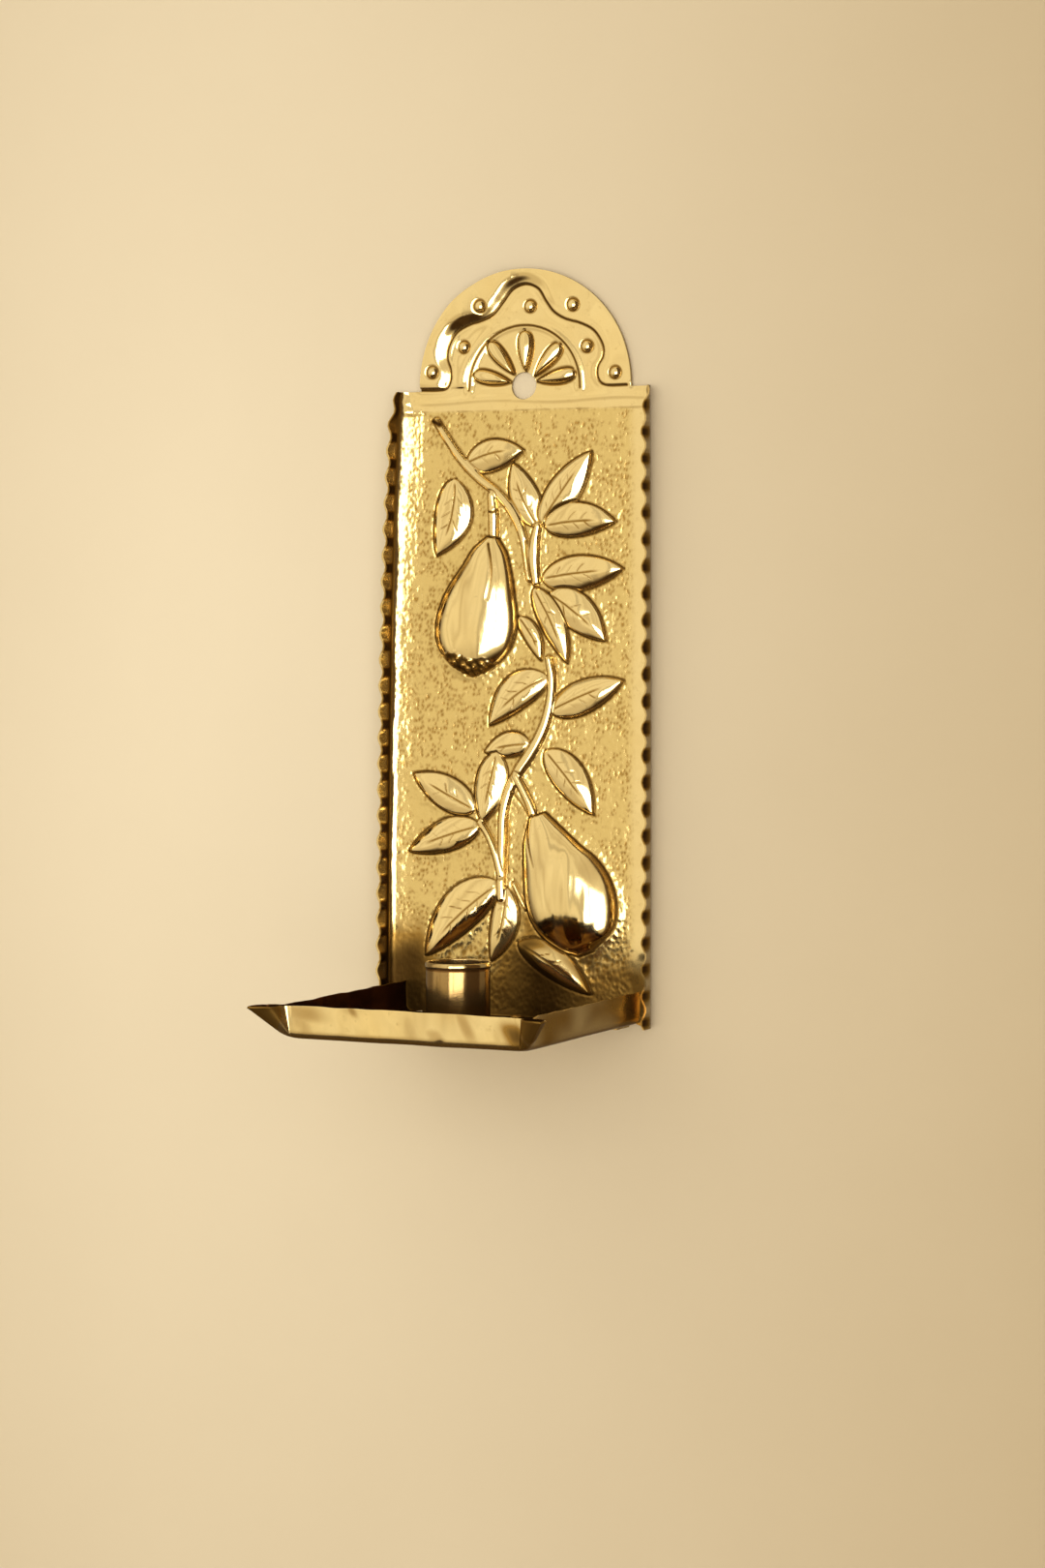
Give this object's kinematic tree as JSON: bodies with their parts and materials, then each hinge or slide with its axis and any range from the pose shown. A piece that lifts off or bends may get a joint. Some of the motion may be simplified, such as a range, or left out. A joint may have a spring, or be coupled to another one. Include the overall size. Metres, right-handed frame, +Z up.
{
  "type": "wall sconce candle holder",
  "caption": "Wall sconce for a candle: arched sheet brass back plate with raised fruit and leaves, square drip tray with pinched corners, and a round candle socket.",
  "frame": {"origin": "centre of the hanging hole, in the plane of the wall", "axes": "+Z up, +Y into the wall, +X to the viewer's right; the candle side faces -Y"},
  "size_m": [0.1187, 0.11, 0.2887],
  "materials": {
    "plate_brass": "polished, chased, with dark polish left in the punched ground and lines",
    "tray_brass": "polished sheet with fine scratches and small dents",
    "socket_brass": "polished, drawn tube",
    "rivet_brass": "hammered, slightly tarnished"
  },
  "bodies": {
    "root": {"back_plate": "plate_brass", "drip_tray": "tray_brass", "candle_socket": "socket_brass", "socket_rivet": "rivet_brass", "socket_burr": "rivet_brass", "lap_rivet_1": "rivet_brass", "lap_rivet_2": "rivet_brass", "lap_rivet_3": "rivet_brass"}
  },
  "joints": []
}
